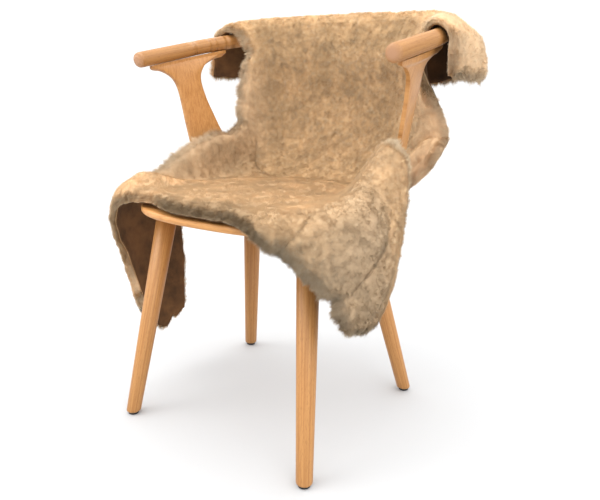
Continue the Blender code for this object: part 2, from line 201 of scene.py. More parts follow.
# Folds of the lower pelt, each a line from its rear to its front, from the left hem to the right
# hem, on the leather side. None in the rear column means the seam's next point.
LOWER_FOLDS = (
    # fold, rear, middle, rim, front
    ("left_hem",
     (-0.280, 0.024, 0.150), (-0.288, -0.032, 0.120), (-0.290, -0.072, 0.152), (-0.284, -0.098, 0.225)),
    ("left_fall",
     (-0.288, 0.038, 0.285), (-0.296, -0.035, 0.280), (-0.298, -0.090, 0.290), (-0.284, -0.126, 0.312)),
    ("left_drop",
     (-0.288, 0.020, 0.405), (-0.294, -0.065, 0.402), (-0.291, -0.118, 0.394), (-0.283, -0.154, 0.384)),
    ("left_crest",
     None, (-0.263, -0.114, 0.464), (-0.257, -0.144, 0.453), (-0.247, -0.168, 0.438)),
    ("seat_left",
     None, (-0.190, -0.080, 0.4500), (-0.172, -0.140, 0.4500), (-0.150, -0.182, 0.4525)),
    ("seat_inner_left",
     None, (-0.108, -0.060, BEDDING_Z), (-0.090, -0.150, BEDDING_Z), (-0.070, -0.208, 0.4490)),
    ("seat_centre",
     None, (-0.018, -0.020, BEDDING_Z), (0.000, -0.140, BEDDING_Z), (0.016, -0.215, 0.4490)),
    ("seat_inner_right",
     None, (0.062, -0.010, BEDDING_Z), (0.082, -0.150, BEDDING_Z), (0.094, -0.226, 0.4475)),
    ("seat_right",
     None, (0.138, -0.020, 0.4490), (0.150, -0.192, 0.4505), (0.152, -0.240, 0.430)),
    ("right_slope",
     (0.180, 0.080, 0.494), (0.196, -0.030, 0.4675), (0.207, -0.158, 0.455), (0.197, -0.230, 0.404)),
    ("right_crest",
     (0.258, 0.014, 0.568), (0.244, -0.050, 0.503), (0.254, -0.125, 0.457), (0.224, -0.215, 0.378)),
    ("right_drop",
     (0.274, 0.003, 0.520), (0.271, -0.060, 0.458), (0.280, -0.120, 0.416), (0.244, -0.204, 0.352)),
    ("right_fall",
     (0.270, -0.006, 0.430), (0.277, -0.065, 0.386), (0.284, -0.125, 0.358), (0.260, -0.192, 0.324)),
    ("right_hem",
     (0.268, -0.030, 0.340), (0.274, -0.078, 0.303), (0.277, -0.128, 0.284), (0.264, -0.174, 0.292)),
)

# Steps between neighbouring lines of a pelt's net, each about 6 mm of leather
UPPER_ACROSS_STEPS = 11
UPPER_DOWN_STEPS = (8, 7, 2, 2, 2, 2, 8, 14, 18, 16, 14)
LOWER_ACROSS_STEPS = 12
LOWER_DOWN_STEPS = (20, 12, 10)

# Dense wool: how far in from a hem and from the seam it is rounded down, the shares of its depth
# that it keeps there, how much paler it is at the seam, and its lumps and tufts
HEM_ROUND = 0.021
HEM_PILE = 0.10
SEAM_ROUND = 0.014
SEAM_PILE = 0.62
SEAM_PALE = 0.16
LUMP_SIZE = 0.034
LUMP_DEPTH = 0.0018
TUFT_SIZE = 0.011
TUFT_DEPTH = 0.0005
LEAST_DEPTH = 0.0012
SKIN_CLEARANCE = 0.0002
WOOL_TIP = 0.42

# Fibres: how deep their roots sit, their lean from upright in degrees, and how much they follow
# the locks, the curls and chance. Locks and curls have a second value, added where wool is coarse.
ROOT_DEPTH = 0.0035
ROOT_SHARE = 0.6
FIBRE_LEAN = 32.0
LOCK_PULL = (0.16, 0.16)
CURL_PULL = (0.10, 0.22)
STRAY = 0.10
TUFT_SHARE = 0.45
FIBRE_LENGTHS = (0.65, 1.15)
FIBRE_WIDTHS = (0.8, 1.2)
FIBRE_TWIST = 0.2
FIBRE_TIPS = (0.3, 0.3, 0.95)
FIBRE_PIECES = 2

# Fringe: how far in from a hem it reaches, how much denser and longer the fibres are there, and how
# far they turn outwards
FRINGE = 0.018
RIM_DENSITY = 2.0
RIM_LENGTH = 0.7
RIM_PULL = 1.3

# Hems are cut unevenly, over bays this long and deep, and the unevenness fades out over the skin.
# FAR is the distance that stands for a border which a place doesn't have.
BAY_SIZE = 0.026
BAY_DEPTH = 0.0050
BAY_FADE = 0.024
FAR = 1.0

# Nicks in the hems. The place is counted in lines and knots of the pelt's net.
NICKS = (
    # pelt, nick, place (across, down), half width, depth
    ("hide_upper", "collar_nick", (0.0, 6.8), 0.013, 0.016),
    ("hide_lower", "front_nick", (6.5, 3.0), 0.008, 0.007),
    ("hide_lower", "front_notch", (8.6, 3.0), 0.008, 0.009),
    ("hide_lower", "flap_nick", (11.4, 3.0), 0.010, 0.010),
    ("hide_lower", "low_nick", (0.0, 0.6), 0.009, 0.012),
)

# Small folds that lie on the big ones. Ends are counted in lines and knots of the pelt's net;
# a positive depth is a trough and a negative one a ridge.
CREASES = (
    # pelt, crease, from (across, down), to (across, down), width, depth
    ("hide_upper", "hill_valley", (1.0, 9.0), (2.3, 9.9), 0.016, 0.014),
    ("hide_upper", "pouch_fold", (5.9, 8.7), (7.5, 9.3), 0.010, 0.015),
    ("hide_upper", "pouch_lobe", (6.3, 9.5), (7.6, 9.9), 0.018, -0.009),
    ("hide_lower", "front_tuck", (8.6, 3.0), (8.8, 2.1), 0.006, 0.007),
    ("hide_lower", "flap_valley", (11.0, 0.8), (11.6, 2.7), 0.013, 0.009),
    ("hide_lower", "flap_ridge", (11.8, 1.0), (12.4, 2.4), 0.013, -0.006),
)

# How far into the half wave of its depth a crease starts and stops
CREASE_END = 0.12

# Stage: the floor's half width, and the lights, aimed at a point this high over the chair's middle
FLOOR_HALF = 30.0
AIM_HEIGHT = 0.45
LIGHTS = (
    # light, place, size
    ("key_light", (-1.6, -1.6, 2.6), 1.8),
    ("fill_light", (2.4, -1.2, 1.6), 1.6),
)

# Camera: turned round the chair, raised, rolled, with its place from the chair's middle
CAMERA_AZIMUTH = 33.08
CAMERA_ELEVATION = 15.615
CAMERA_ROLL = 0.328
CAMERA_PLACE = (0.681, -0.939, 0.668)
CAMERA_SENSOR = 36.0
CAMERA_LENS = 35.1


def linear(hex_colour):
    """An sRGB hex value as linear red, green, blue and alpha."""
    shares = [int(hex_colour[start:start + 2], 16) / 255 for start in (1, 3, 5)]
    return (*[s / 12.92 if s <= 0.04045 else ((s + 0.055) / 1.055) ** 2.4 for s in shares], 1.0)


def colour(name, description, hex_colour):
    """A colour setting."""
    return FloatVectorProperty(
        name=name, description=description, subtype="COLOR", size=4, min=0, max=1, default=linear(hex_colour)
    )


def length(name, description, metres):
    """A length setting."""
    return FloatProperty(
        name=name, description=description, unit="LENGTH", precision=4, min=0, default=metres
    )


class RugSettings(bpy.types.PropertyGroup):
    """Sizes and colours of the two pelts."""

    leather: length("Leather", "Thickness of the tanned skin", 0.0015)
    pile: length("Pile", "Depth of the shorn wool, tips included", 0.024)
    fibre_reach: length("Fibre reach", "How far the fibre tips stand out of the dense wool", 0.0045)
    fibre_length: length("Fibre length", "Length of a lock of fibres that shows", 0.0084)
    fibre_width: length("Fibre width", "Width of a lock of fibres at its root", 0.0008)
    lock: length("Lock", "Distance over which the wool leans one way", 0.014)
    curl: length("Curl", "Distance over which single strands turn", 0.0045)
    fibres: IntProperty(name="Fibres", description="Strands in each piece of wool", default=195000, min=100)
    wool_tip: colour("Wool tip", "Colour of the wool's tips", "#F6E2C2")
    wool_body: colour("Wool body", "Colour of the wool between root and tip", "#DCB586")
    wool_root: colour("Wool root", "Colour of the wool next to the skin", "#AC7F50")
    wool_grey: colour("Greyer wool", "Colour of the cooler wool at the sides and on the flaps", "#D6BEA0")
    suede: colour("Suede", "Colour of the skin's sueded side", "#6A4A2E")
    suede_dark: colour("Dark suede", "Colour of the suede in its darker patches", "#4A3421")
    # painted shade: a near-black suede colour laid where the pocket behind the right arm lies in shadow
    suede_painted_shade: colour("Shut suede", "Colour of the suede in the pocket behind the right arm", "#140D08")


class ChairSettings(bpy.types.PropertyGroup):
    """Sizes and colours of the chair."""

    edge_round: length("Edge rounding", "Radius on the edges of the supports", 0.0022)
    seat_round: length("Seat rounding", "Radius on the rim of the seat", 0.0050)
    oak: colour("Oak", "Main colour of the oiled oak", "#BA864E")
    oak_end: colour("End grain", "Colour of the oak's cut ends", "#A87D5C")
    oak_dark: colour("Dark grain", "Colour of the oak's late growth", "#A16C38")
    oak_pore: colour("Pores", "Colour of the oak's pores", "#7A4F27")
    glide: colour("Glide", "Colour of the foot glides", "#1C1B1A")


class StageSettings(bpy.types.PropertyGroup):
    """Floor and light."""

    floor: colour("Floor", "Colour of the floor", "#B5B6B7")
    key: FloatProperty(
        name="Key light", description="Power of the large light", unit="POWER", default=34.0
    )
    fill: FloatProperty(
        name="Fill light", description="Power of the light from the right", unit="POWER", default=10.0
    )
    sky: FloatProperty(name="Sky", description="Strength of the even white light all round", default=1.04)
    zenith: FloatProperty(
        name="Zenith", description="How much stronger the light is from straight above", default=2.2
    )


def settings(kind):
    """One group of settings, from the scene."""
    return getattr(bpy.context.scene, "sheepskin_" + kind)


def chair_middle():
    """The chair's middle on the floor, from the four glides of the frame."""
    middles = [sum(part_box("glide_" + leg[0]), Vector()) / 2 for leg in LEGS]
    front = (middles[0] + middles[1]) / 2
    rear = (middles[2] + middles[3]) / 2
    return Vector((front.x, (front.y + rear.y) / 2, 0))


# Nodes and materials

def add_node(tree, kind, inputs=None, stops=None, **values):
    """One shader node with its settings, its ramp stops, and its inputs as numbers or as links."""
    node = tree.nodes.new(kind)
    for name, value in values.items():
        setattr(node, name, value)
    for name, value in (inputs or {}).items():
        if isinstance(value, bpy.types.NodeSocket):
            tree.links.new(value, node.inputs[name])
        else:
            node.inputs[name].default_value = value
    if stops:
        elements = node.color_ramp.elements
        while len(elements) < len(stops):
            elements.new(0.5)
        for element, (position, value) in zip(elements, stops):
            element.position = position
            element.color = value
    return node


def attribute(tree, name, socket="Fac"):
    """A value that the mesh carries."""
    return add_node(tree, "ShaderNodeAttribute", attribute_name=name).outputs[socket]


def object_place(tree):
    """The place on the piece, in metres."""
    return add_node(tree, "ShaderNodeTexCoord").outputs["Object"]


def grain_noise(tree, place, size, detail=2.0, roughness=0.5):
    """Noise in grains about size metres across."""
    inputs = {"Vector": place, "Scale": 1 / size, "Detail": detail, "Roughness": roughness}
    return add_node(tree, "ShaderNodeTexNoise", inputs).outputs["Fac"]


def spread(tree, value, low, high, start=0.0, stop=1.0):
    """A value that runs from low to high while another runs from start to stop."""
    inputs = {"Value": value, "From Min": start, "From Max": stop, "To Min": low, "To Max": high}
    return add_node(tree, "ShaderNodeMapRange", inputs).outputs[0]


def calculate(tree, operation, first, second):
    """Two values joined by an operation."""
    return add_node(tree, "ShaderNodeMath", {0: first, 1: second}, operation=operation).outputs[0]


def ramp(tree, value, *stops):
    """A colour that follows a value through its stops."""
    return add_node(tree, "ShaderNodeValToRGB", {"Fac": value}, stops=stops).outputs["Color"]


def blend(tree, share, first, second):
    """One colour laid over another by a share."""
    inputs = {"Factor": share, 6: first, 7: second}
    return add_node(tree, "ShaderNodeMix", inputs, data_type="RGBA", blend_type="MIX").outputs[2]


def brighten(tree, value, base):
    """A colour made brighter or darker."""
    return add_node(tree, "ShaderNodeHueSaturation", {"Value": value, "Color": base}).outputs["Color"]


def raised(tree, height, strength, distance):
    """Normals of a fine relief."""
    inputs = {"Height": height, "Strength": strength, "Distance": distance}
    return add_node(tree, "ShaderNodeBump", inputs).outputs["Normal"]


def principled(tree, **inputs):
    """A Principled shader; underscores in its inputs' names stand for spaces."""
    named = {name.replace("_", " "): value for name, value in inputs.items()}
    return add_node(tree, "ShaderNodeBsdfPrincipled", named).outputs["BSDF"]


def new_material(name):
    """An empty material and its node tree."""
    material = bpy.data.materials.new(name)
    material.use_nodes = True
    material.node_tree.nodes.clear()
    return material, material.node_tree


def close_material(tree, surface):
    """The material's output."""
    add_node(tree, "ShaderNodeOutputMaterial", {"Surface": surface})


def wool_material():
    """Shorn sheepskin wool: matt fibres that let light through, paler at the tip, in soft patches."""
    rug = settings("rug")
    material, tree = new_material("shorn_sheepskin_wool")
    place = object_place(tree)
    # patches of 55 mm, where the wool was brushed one way or the other
    patches = grain_noise(tree, place, 0.055, detail=3.0, roughness=0.6)
    # mottling of 8 mm, where single locks show more root or more tip
    mottle = grain_noise(tree, place, 0.008, roughness=0.6)
    height = calculate(tree, "ADD", attribute(tree, "tip"), spread(tree, mottle, -0.15, 0.13, 0.3, 0.7))
    shade = ramp(tree, height, (0.0, rug.wool_root[:]), (0.45, rug.wool_body[:]), (1.0, rug.wool_tip[:]))
    cool = blend(tree, attribute(tree, "grey"), shade, rug.wool_grey[:])
    patched = spread(tree, patches, 0.80, 1.16, 0.3, 0.7)
    # the pelt's tone, which carries painted shade, and each strand's own tone
    value = calculate(tree, "MULTIPLY", patched, attribute(tree, "tone"))
    value = calculate(tree, "MULTIPLY", value, spread(tree, attribute(tree, "strand"), 0.88, 1.10))
    toned = brighten(tree, value, cool)
    matt = principled(
        tree,
        Base_Color=toned,
        Roughness=0.85,
        Specular_IOR_Level=0.2,
        Sheen_Weight=0.6,
        Sheen_Roughness=0.4,
        Sheen_Tint=rug.wool_tip[:],
    )
    through = add_node(tree, "ShaderNodeBsdfTranslucent", {"Color": toned}).outputs["BSDF"]
    shader = add_node(tree, "ShaderNodeMixShader", {0: 0.25, 1: matt, 2: through})
    close_material(tree, shader.outputs["Shader"])
    return material


def suede_material():
    """Sueded sheep leather: the tanned inner side of the skin, buffed to a short nap, quite matt."""
    rug = settings("rug")
    material, tree = new_material("sueded_sheep_leather")
    place = object_place(tree)
    # clouds of 40 mm where the nap lies one way, and a nap of 1.5 mm
    clouds = grain_noise(tree, place, 0.040, detail=4.0, roughness=0.6)
    nap = grain_noise(tree, place, 0.0015)
    tint = ramp(tree, clouds, (0.35, rug.suede_dark[:]), (0.65, rug.suede[:]))
    # painted shade: the suede turns near black in the pocket behind the right arm
    shader = principled(
        tree,
        Base_Color=blend(tree, attribute(tree, "pocket"), tint, rug.suede_painted_shade[:]),
        Roughness=0.95,
        Specular_IOR_Level=0.2,
        Sheen_Weight=0.06,
        Sheen_Roughness=0.6,
        Sheen_Tint=rug.suede[:],
        Normal=raised(tree, nap, 0.35, 0.0006),
    )
    close_material(tree, shader)
    return material


def oak_material():
    """Oiled oak, planed and sanded: warm, straight grain with short dark pores, a soft gloss."""
    chair = settings("chair")
    material, tree = new_material("oiled_oak")
    timber = attribute(tree, "timber", "Vector")

    def along_grain(width, run, detail, roughness):
        """Noise in streaks of a width that run along the timber."""
        inputs = {"Vector": timber, "Scale": (1 / width, 1 / width, 1 / run)}
        streaks = add_node(tree, "ShaderNodeMapping", inputs).outputs["Vector"]
        return grain_noise(tree, streaks, 1.0, detail, roughness)

    # growth rings 3.5 mm wide that run 300 mm along the grain, and pores 0.8 mm wide and 9 mm long
    rings = along_grain(0.0035, 0.30, 3.0, 0.65)
    pores = along_grain(0.0008, 0.009, 1.0, 0.5)
    grain = ramp(tree, rings, (0.30, chair.oak_dark[:]), (0.62, chair.oak[:]))
    pore_share = spread(tree, pores, 0.0, 0.50, 0.58, 0.72)
    wood = blend(tree, pore_share, grain, chair.oak_pore[:])
    # painted shade: the oak below the seat, on the legs, is darker; the rail is darker, and the seat paler
    # as painted light on its lit top
    level = add_node(tree, "ShaderNodeSeparateXYZ", {"Vector": object_place(tree)}).outputs["Z"]
    legs_painted_shade = spread(tree, level, 0.92, 1.0, 0.40, 0.435)
    piece = spread(tree, attribute(tree, "dark"), 1.18, 0.82, -1.0, 1.0)
    toned = brighten(tree, calculate(tree, "MULTIPLY", legs_painted_shade, piece), wood)
    shader = principled(
        tree,
        Base_Color=blend(tree, attribute(tree, "end_grain"), toned, chair.oak_end[:]),
        Roughness=0.42,
        Specular_IOR_Level=0.4,
        Normal=raised(tree, pore_share, 0.3, -0.0002),
    )
    close_material(tree, shader)
    return material


def glide_material():
    """Moulded black polyamide, matt from the mould's fine texture."""
    material, tree = new_material("moulded_black_polyamide")
    # mould texture of 0.6 mm
    grit = grain_noise(tree, object_place(tree), 0.0006)
    shader = principled(
        tree,
        Base_Color=settings("chair").glide[:],
        Roughness=spread(tree, grit, 0.45, 0.65),
        IOR=1.53,
        Normal=raised(tree, grit, 0.2, 0.0002),
    )
    close_material(tree, shader)
    return material


def floor_material():
    """Painted pale floor, matt, with a faint unevenness a third of a metre across."""
    material, tree = new_material("pale_painted_floor")
    paint = grain_noise(tree, object_place(tree), 1 / 3)
    shader = principled(
        tree,
        Base_Color=settings("stage").floor[:],
        Roughness=spread(tree, paint, 0.75, 0.85),
        Specular_IOR_Level=0.1,
    )
    close_material(tree, shader)
    return material


def material_of(maker):
    """A material, made once and then shared."""
    made = bpy.data.materials.get(MATERIAL_NAMES[maker])
    return made or maker()


MATERIAL_NAMES = {
    wool_material: "shorn_sheepskin_wool",
    suede_material: "sueded_sheep_leather",
    oak_material: "oiled_oak",
    glide_material: "moulded_black_polyamide",
}


# Pieces

def dress(name, mesh, maker, nodes=()):
    """A piece on the frame: moved from the chair's middle to the frame, with its material."""
    mesh.transform(Matrix.Translation(chair_middle()))
    mesh.materials.append(material_of(maker))
    piece = bpy.data.objects.new(name, mesh)
    bpy.context.scene.collection.objects.link(piece)
    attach(piece, ROOT)
    if nodes:
        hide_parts(*nodes)
    return piece


def finish_mesh(name, bm):
    """A smooth-shaded mesh from a bmesh, with its doubles merged and its faces turned outwards."""
    bmesh.ops.remove_doubles(bm, verts=bm.verts[:], dist=1e-6)
    bmesh.ops.recalc_face_normals(bm, faces=bm.faces[:])
    for face in bm.faces:
        face.smooth = True
    mesh = bpy.data.meshes.new(name)
    bm.to_mesh(mesh)
    bm.free()
    return mesh


def timber_layer(bm):
    """The vertex attribute that the oak's grain follows: across, through and along the timber."""
    return bm.verts.layers.float_vector.new("timber")


def darken(bm, value):
    """Mark a piece's oak as darker, or as paler below 0."""
    dark = bm.verts.layers.float.new("dark")
    for vert in bm.verts:
        vert[dark] = value


def round_edges(bm, edges, radius, segments):
    """Round some edges of a piece."""
    bmesh.ops.bevel(
        bm, geom=edges, offset=radius, segments=segments, profile=0.5, material=-1, affect="EDGES"
    )


# Chair

def signed_power(value, power):
    """A power that keeps the sign."""
    return math.copysign(abs(value) ** power, value)


def rail_height(y):
    """Height of the rail's centre line, which rises evenly to the back."""
    share = (y - RAIL_TIP_Y) / (RAIL_TURN_Y + RAIL_DEPTH - RAIL_TIP_Y)
    return RAIL_TIP_Z + share * (RAIL_BACK_Z - RAIL_TIP_Z)


def rail_point(turn):
    """Centre of the rail at an angle round its bend, from -90 at the left to 90 at the right."""
    angle = math.radians(turn)
    x = RAIL_HALF_WIDTH * signed_power(math.sin(angle), 2 / RAIL_EXPONENT)
    y = RAIL_TURN_Y + RAIL_DEPTH * abs(math.cos(angle)) ** (2 / RAIL_EXPONENT)
    return Vector((x, y, rail_height(y)))


def rail_outward(turn):
    """Level direction away from the chair's middle at an angle round the rail."""
    along = rail_point(min(turn + 0.5, 89.9)) - rail_point(turn - 0.5)
    return Vector((-along.y, along.x, 0)).normalized()


def rail_path():
    """Centres and radii along the rail, from the left tip to the right one, ends rounded."""
    arm = []
    for step in range(RAIL_END_STEPS + 1):
        angle = math.pi / 2 * step / RAIL_END_STEPS
        arm.append((
            RAIL_TIP_Y + RAIL_END_ROUND * (1 - math.cos(angle)),
            RAIL_RADIUS - RAIL_END_ROUND * (1 - math.sin(angle)),
        ))
    arm_start = RAIL_TIP_Y + RAIL_END_ROUND
    arm.extend((arm_start + step * RAIL_ARM_STEP, RAIL_RADIUS) for step in range(1, RAIL_ARM_STEPS + 1))
    left = [(Vector((-RAIL_HALF_WIDTH, y, rail_height(y))), radius) for y, radius in arm]
    right = [(Vector((RAIL_HALF_WIDTH, y, rail_height(y))), radius) for y, radius in reversed(arm)]
    turns = [-90 + 180 * step / RAIL_TURN_STEPS for step in range(RAIL_TURN_STEPS + 1)]
    return left + [(rail_point(turn), RAIL_RADIUS) for turn in turns] + right


def make_rail():
    """The bent rail, a ring carried along its path by extruding its end face."""
    path = rail_path()
    bm = bmesh.new()
    layer = timber_layer(bm)
    cut = bm.verts.layers.float.new("end_grain")
    frames = []
    for index, (centre, _) in enumerate(path):
        before = path[max(index - 1, 0)][0]
        after = path[min(index + 1, len(path) - 1)][0]
        along = (after - before).to_track_quat("Z", "Y")
        frames.append(Matrix.Translation(centre) @ along.to_matrix().to_4x4())
    bmesh.ops.create_circle(
        bm, cap_ends=True, radius=path[0][1], segments=RAIL_SIDES, matrix=frames[0]
    )
    bm.faces.ensure_lookup_table()
    face = bm.faces[0]
    travelled = 0.0
    for vert in face.verts:
        vert[layer] = frames[0].inverted() @ vert.co
        vert[cut] = 1.0
    for index in range(1, len(path)):
        travelled += (path[index][0] - path[index - 1][0]).length
        grown = bmesh.ops.extrude_face_region(bm, geom=[face])["geom"]
        face = next(item for item in grown if isinstance(item, bmesh.types.BMFace))
        widen = Matrix.Scale(path[index][1] / path[index - 1][1], 4)
        carry = frames[index] @ widen @ frames[index - 1].inverted()
        bmesh.ops.transform(bm, matrix=carry, verts=face.verts[:])
        from_end = min(index, len(path) - 1 - index)
        for vert in face.verts:
            local = frames[index].inverted() @ vert.co
            vert[layer] = (local.x, local.y, travelled)
            vert[cut] = max(0.0, 1 - from_end / RAIL_END_STEPS)
    darken(bm, 1.0)
    dress("oak_rail", finish_mesh("oak_rail", bm), oak_material, ["rail"])


def make_seat():
    """The seat plate: an outline that is extruded, its rim rounded."""
    bm = bmesh.new()
    layer = timber_layer(bm)
    bmesh.ops.create_circle(bm, cap_ends=True, radius=1.0, segments=SEAT_POINTS)
    middle_y = (SEAT_FRONT + SEAT_REAR) / 2
    half_depth = (SEAT_REAR - SEAT_FRONT) / 2
    for vert in bm.verts:
        across = signed_power(vert.co.x, 2 / SEAT_EXPONENT)
        along = signed_power(vert.co.y, 2 / SEAT_EXPONENT)
        vert.co = (SEAT_HALF_WIDTH * across, middle_y + half_depth * along, SEAT_TOP - SEAT_THICKNESS)
    lifted = bmesh.ops.extrude_face_region(bm, geom=bm.faces[:])["geom"]
    top = [item for item in lifted if isinstance(item, bmesh.types.BMVert)]
    bmesh.ops.translate(bm, verts=top, vec=(0, 0, SEAT_THICKNESS))
    rims = [edge for edge in bm.edges if abs(edge.verts[0].co.z - edge.verts[1].co.z) < 1e-6]
    round_edges(bm, rims, settings("chair").seat_round, 4)
    for vert in bm.verts:
        vert[layer] = (vert.co.y, vert.co.z, vert.co.x)
    # paler oak on the seat: painted light on its lit top
    darken(bm, -1.0)
    dress("oak_seat", finish_mesh("oak_seat", bm), oak_material, ["seat"])


def make_support(side):
    """A support: a panel laid through its rows and thickened, thinner and rounded towards its edges."""
    name = "support_left" if side < 0 else "support_right"
    down_at = net_positions(SUPPORT_DOWN_STEPS)
    rows = len(down_at) - 1
    table = np.array([(*front, *rear, bow) for _, front, rear, bow in SUPPORT_ROWS])
    lines = spline_weights(len(SUPPORT_ROWS), down_at) @ table
    bm = bmesh.new()
    layer = timber_layer(bm)
    bmesh.ops.create_grid(bm, x_segments=SUPPORT_ACROSS_STEPS, y_segments=rows, size=0.5)
    weight = bm.verts.layers.deform.verify()
    for vert in bm.verts:
        across = vert.co.x + 0.5
        line = lines[round((0.5 - vert.co.y) * rows)]
        place = (1 - across) * line[:3] + across * line[3:6]
        vert[weight][0] = 1 - (1 - SUPPORT_EDGE_SHARE) * (2 * across - 1) ** 4
        vert[layer] = (place[1], place[0], place[2])
        vert.co = (side * (place[0] + line[6] * 4 * across * (1 - across)), place[1], place[2])
    mesh = finish_mesh("oak_" + name, bm)
    piece = dress("oak_" + name, mesh, oak_material, [name])
    piece.vertex_groups.new(name="thickness")
    panel = piece.modifiers.new("panel", "SOLIDIFY")
    panel.thickness = SUPPORT_THICKNESS
    panel.offset = 0.0
    panel.vertex_group = "thickness"
    edges = piece.modifiers.new("rounded_edges", "BEVEL")
    edges.width = settings("chair").edge_round
    edges.segments = 3
    edges.limit_method = "ANGLE"


def make_leg(name, foot_x, foot_y, top_x, top_y):
    """A round tapered leg, cut level at the foot and under the seat, its foot rounded."""
    height = LEG_TOP_Z - LEG_FOOT_Z
    bm = bmesh.new()
    layer = timber_layer(bm)
    bmesh.ops.create_cone(
        bm,
        cap_ends=True,
        segments=LEG_SIDES,
        radius1=LEG_FOOT_RADIUS,
        radius2=LEG_TOP_RADIUS,
        depth=height,
    )
    foot_edges = [e for e in bm.edges if all(v.co.z < 0 for v in e.verts)]
    round_edges(bm, foot_edges, LEG_ROUND, 3)
    for vert in bm.verts:
        vert[layer] = vert.co.copy()
        share = (vert.co.z + height / 2) / height
        vert.co.x += foot_x + share * (top_x - foot_x)
        vert.co.y += foot_y + share * (top_y - foot_y)
        vert.co.z += LEG_FOOT_Z + height / 2
    piece = "oak_leg_" + name
    dress(piece, finish_mesh(piece, bm), oak_material, ["leg_" + name])


def make_glide(name, foot_x, foot_y):
    """The round glide under a foot, its lower edge rounded."""
    bm = bmesh.new()
    bmesh.ops.create_cone(
        bm,
        cap_ends=True,
        segments=GLIDE_SIDES,
        radius1=GLIDE_RADIUS,
        radius2=GLIDE_RADIUS,
        depth=GLIDE_HEIGHT,
        matrix=Matrix.Translation((foot_x, foot_y, GLIDE_HEIGHT / 2)),
    )
    edges = [e for e in bm.edges if abs(e.verts[0].co.z - e.verts[1].co.z) < 1e-6]
    round_edges(bm, edges, GLIDE_ROUND, 3)
    piece = "foot_glide_" + name
    dress(piece, finish_mesh(piece, bm), glide_material, ["glide_" + name])


# Pelts

def spline_weights(count, positions):
    """The share of each of some knots in a smooth curve through them, a row for each position."""
    weights = np.zeros((len(positions), count + 2))
    for row, position in enumerate(positions):
        index = min(int(position), count - 2)
        t = position - index
        weights[row, index:index + 4] = (
            0.5 * (-t + 2 * t * t - t ** 3),
            0.5 * (2 - 5 * t * t + 3 * t ** 3),
            0.5 * (t + 4 * t * t - 3 * t ** 3),
            0.5 * (-t * t + t ** 3),
        )
    # the knots past both ends run straight on
    inner = weights[:, 1:-1].copy()
    inner[:, 0] += 2 * weights[:, 0]
    inner[:, 1] -= weights[:, 0]
    inner[:, -1] += 2 * weights[:, -1]
    inner[:, -2] -= weights[:, -1]
    return inner


def net_positions(steps):
    """Positions along a line, with a number of steps between one knot and the next."""
    positions = [0.0]
    for knot, count in enumerate(steps):
        positions.extend(knot + (step + 1) / count for step in range(count))
    return np.array(positions)


def hem_wave(across):
    """Uneven cut of a pelt's free edge."""
    return HEM_WAVE * (0.6 * math.sin(2.9 * across) + 0.4 * math.sin(7.3 * across + 1.0))


def upper_line(index):
    """One line of the upper pelt: up the outer flap, over the rail, down to the foot."""
    _, turn, lead, drop, kick = RAIL_PASS[index]
    centre = rail_point(turn)
    outward = rail_outward(turn)
    reach = RAIL_RADIUS + CLOTH_GAP
    hem = centre + outward * (reach + kick) - Vector((0, 0, drop + hem_wave(index)))
    flap = centre + outward * (reach + FLAP_KICK * kick) - Vector((0, 0, FLAP_DROP * drop))
    line = [hem, flap]
    for degrees, lead_share, kick_share, sink_share in OVER_RAIL:
        angle = math.radians(degrees)
        centre = rail_point(turn + lead * lead_share)
        outward = rail_outward(turn + lead * lead_share)
        level = -reach * math.cos(angle) + kick * kick_share
        height = reach * math.sin(angle) - kick * sink_share
        line.append(centre + outward * level + Vector((0, 0, height)))
    line.append(centre - outward * (reach + COLLAR) - Vector((0, 0, COLLAR_DROP)))
    line.extend(Vector(point) for point in CURTAIN[index])
    line.append(Vector(UPPER_FOOT[index]))
    return line


def lower_line(index):
    """One fold line of the lower pelt, from its rear to its front."""
    _, rear, middle, rim, front = LOWER_FOLDS[index]
    if rear is None:
        rear = UPPER_FOOT[index - LOWER_SEAM_START]
    return [Vector(rear), Vector(middle), Vector(rim), Vector(front)]


def unit(vectors):
    """Vectors of length 1."""
    return vectors / np.maximum(np.linalg.norm(vectors, axis=-1, keepdims=True), 1e-12)


def normals_of(places):
    """Directions square to a grid of places, on the side of the wool."""
    across = np.gradient(places, axis=0)
    down = np.gradient(places, axis=1)
    return unit(np.cross(down, across))


def seam_places(positions):
    """Places on the seam; positions count its knots."""
    knots = np.array(UPPER_FOOT[:SEAM_KNOTS])
    return spline_weights(SEAM_KNOTS, positions) @ knots


def noise_at(places, size, seed):
    """Smooth noise from -1 to 1 at each place, in patches about size metres across."""
    shift = Vector((seed, 0.5 * seed, 0))
    flat = [noise.noise(Vector(place) / size + shift) for place in places.reshape(-1, 3).tolist()]
    return np.array(flat).reshape(places.shape[:-1])


def lock_leans(places, size, seed):
    """Smooth random directions at each place, which turn over a distance of about size metres."""
    noise.seed_set(seed)
    shift = Vector((seed, 0.5 * seed, 0))
    flat = [noise.noise_vector(Vector(place) / size + shift)[:] for place in places.reshape(-1, 3).tolist()]
    return np.array(flat).reshape(places.shape)


def press_creases(name, places, across_at, down_at):
    """Press a pelt's small troughs into it and raise its small ridges."""
    normals = normals_of(places)
    per_line = np.gradient(places, axis=0) / np.gradient(across_at)[:, None, None]
    per_knot = np.gradient(places, axis=1) / np.gradient(down_at)[None, :, None]
    lines, knots = np.meshgrid(across_at, down_at, indexing="ij")
    for pelt, _, start, end, width, depth in CREASES:
        if pelt != name:
            continue
        run = np.array(end) - start
        share = ((lines - start[0]) * run[0] + (knots - start[1]) * run[1]) / (run @ run)
        share = np.clip(share, 0, 1)
        off_lines = lines - start[0] - share * run[0]
        off_knots = knots - start[1] - share * run[1]
        off = per_line * off_lines[..., None] + per_knot * off_knots[..., None]
        distance = np.linalg.norm(off, axis=-1)
        along = np.sin(math.pi * (CREASE_END + (1 - 2 * CREASE_END) * share))
        places = places - normals * (depth * along * np.exp(-(distance / width) ** 2))[..., None]
    return places


